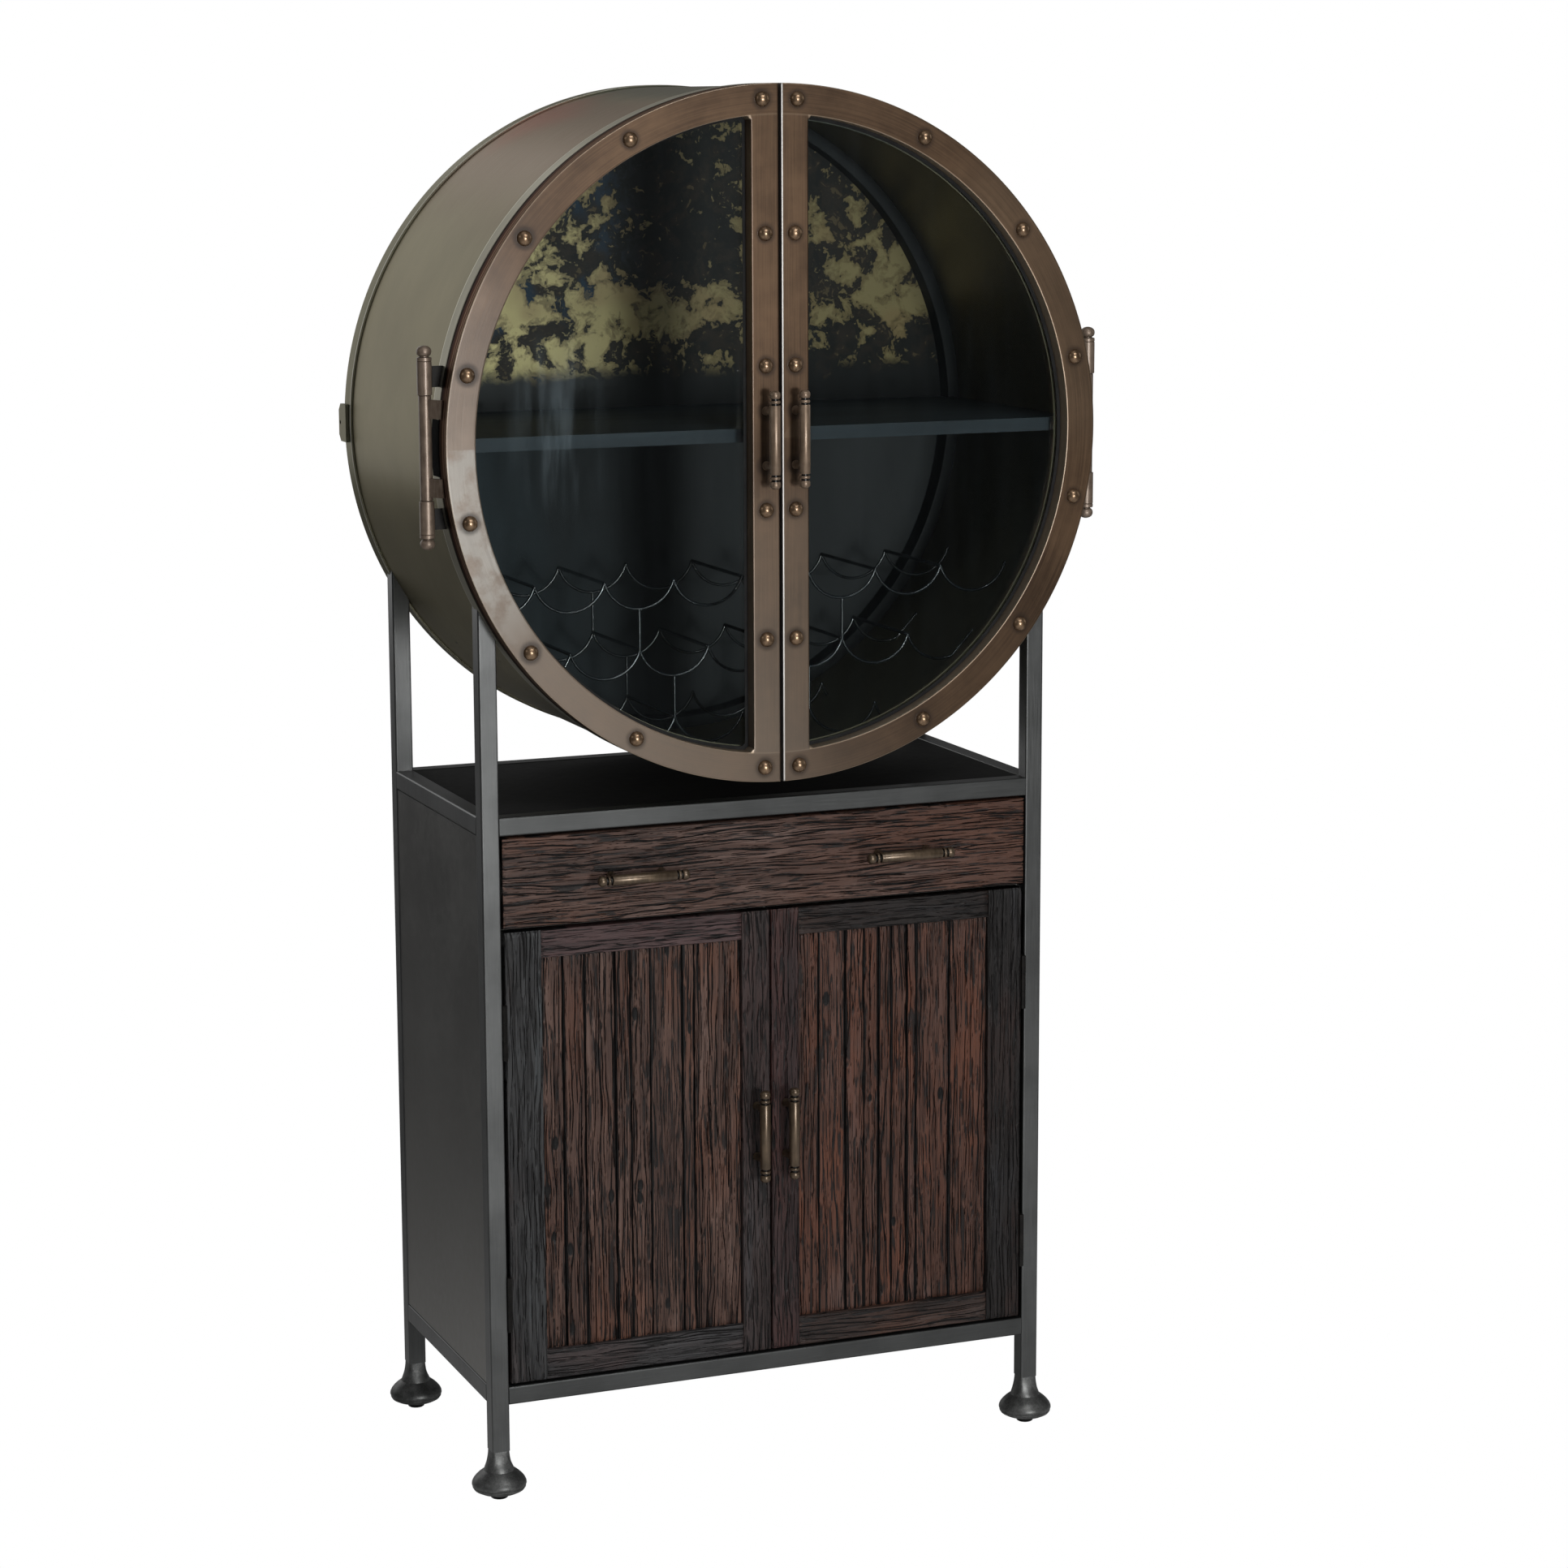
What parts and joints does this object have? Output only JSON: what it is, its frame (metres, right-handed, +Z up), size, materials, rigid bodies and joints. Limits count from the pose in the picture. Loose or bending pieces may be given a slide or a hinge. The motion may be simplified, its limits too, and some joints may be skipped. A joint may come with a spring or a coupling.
{
  "type": "bar cabinet",
  "caption": "Round steel drum cabinet with glazed half-round doors, mirror, shelf and scalloped bottle rack, on posts above a low cabinet with a drawer and plank doors.",
  "frame": {"origin": "middle of the bottom of the whole object's box, on the floor", "axes": "+X to the right seen from the front, +Y to the back, +Z up"},
  "size_m": [0.9644, 0.5318, 1.89],
  "materials": {
    "frame_steel": "dark brushed steel under clear lacquer",
    "foot_iron": "dark cast iron, satin",
    "glide_rubber": "matt",
    "black_plastic": "matt",
    "runner_steel": "zinc plated",
    "hinge_bronze": "dark bronzed steel",
    "drum_steel": "warm grey steel, rolled and lacquered",
    "dark_sheet": "blackened sheet, satin",
    "shelf_steel": "blue-grey sheet, satin",
    "aged_mirror": "antiqued silvering, olive-gold with dark blooms",
    "rack_wire": "dark wire, satin",
    "dark_wood": "reclaimed wood, deep grain, dark stain",
    "plain_wood": "plain drawer wood",
    "old_brass": "antique brass, dark in the grooves",
    "door_copper": "brushed aged copper, dark round the rivets",
    "clear_glass": "clear"
  },
  "bodies": {
    "cabinet": {"post_front_left": "frame_steel", "post_front_right": "frame_steel", "post_back_left": "frame_steel", "post_back_right": "frame_steel", "front_rails": "frame_steel", "back_rails": "frame_steel", "left_rails": "frame_steel", "right_rails": "frame_steel", "side_panel_left": "frame_steel", "side_panel_right": "frame_steel", "back_panel": "frame_steel", "top_sheet": "frame_steel", "floor_sheet": "frame_steel", "feet": "foot_iron", "glides": "glide_rubber", "stop_rail": "frame_steel", "door_catches": "black_plastic", "cabinet_runners": "runner_steel", "frame_butt_leaves": "hinge_bronze", "drum_shell": "drum_steel", "drum_back_pan": "dark_sheet", "drum_shelf": "shelf_steel", "mirror": "aged_mirror", "rack_top_wires": "rack_wire", "rack_middle_wires": "rack_wire", "rack_low_wires": "rack_wire", "rack_rods": "rack_wire", "wall_tabs": "drum_steel", "fixed_knuckles": "hinge_bronze", "hinge_leaves": "hinge_bronze", "hinge_pins": "hinge_bronze"},
    "drawer": {"drawer_front": "dark_wood", "drawer_box": "plain_wood", "drawer_bottom": "plain_wood", "drawer_runners": "runner_steel", "drawer_pulls": "old_brass"},
    "drum_door_left": {"drum_door_frame_left": "door_copper", "drum_door_glass_left": "clear_glass", "drum_door_barrel_left": "hinge_bronze", "drum_door_pull_left": "old_brass"},
    "lower_door_left": {"door_stiles_left": "dark_wood", "door_rails_left": "dark_wood", "door_planks_left": "dark_wood", "door_pull_left": "old_brass", "door_butt_leaves_left": "hinge_bronze"},
    "drum_door_right": {"drum_door_frame_right": "door_copper", "drum_door_glass_right": "clear_glass", "drum_door_barrel_right": "hinge_bronze", "drum_door_pull_right": "old_brass"},
    "lower_door_right": {"door_stiles_right": "dark_wood", "door_rails_right": "dark_wood", "door_planks_right": "dark_wood", "door_pull_right": "old_brass", "door_butt_leaves_right": "hinge_bronze"}
  },
  "joints": [
    {"name": "drum_door_hinge_left", "type": "hinge", "parent": "cabinet", "child": "drum_door_left", "pos_m": [-0.4725, -0.18005, 1.43], "axis": [0, 0, -1], "range_deg": [0, 170]},
    {"name": "lower_door_hinge_left", "type": "hinge", "parent": "cabinet", "child": "lower_door_left", "pos_m": [-0.38075, -0.18405, 0.47355], "axis": [0, 0, -1], "range_deg": [0, 115]},
    {"name": "drum_door_hinge_right", "type": "hinge", "parent": "cabinet", "child": "drum_door_right", "pos_m": [0.4725, -0.18005, 1.43], "axis": [0, 0, 1], "range_deg": [0, 170]},
    {"name": "lower_door_hinge_right", "type": "hinge", "parent": "cabinet", "child": "lower_door_right", "pos_m": [0.38075, -0.18405, 0.47355], "axis": [0, 0, 1], "range_deg": [0, 115]},
    {"name": "drawer_slide", "type": "slide", "parent": "cabinet", "child": "drawer", "axis": [0, -1, 0], "range_m": [0, 0.28]}
  ]
}
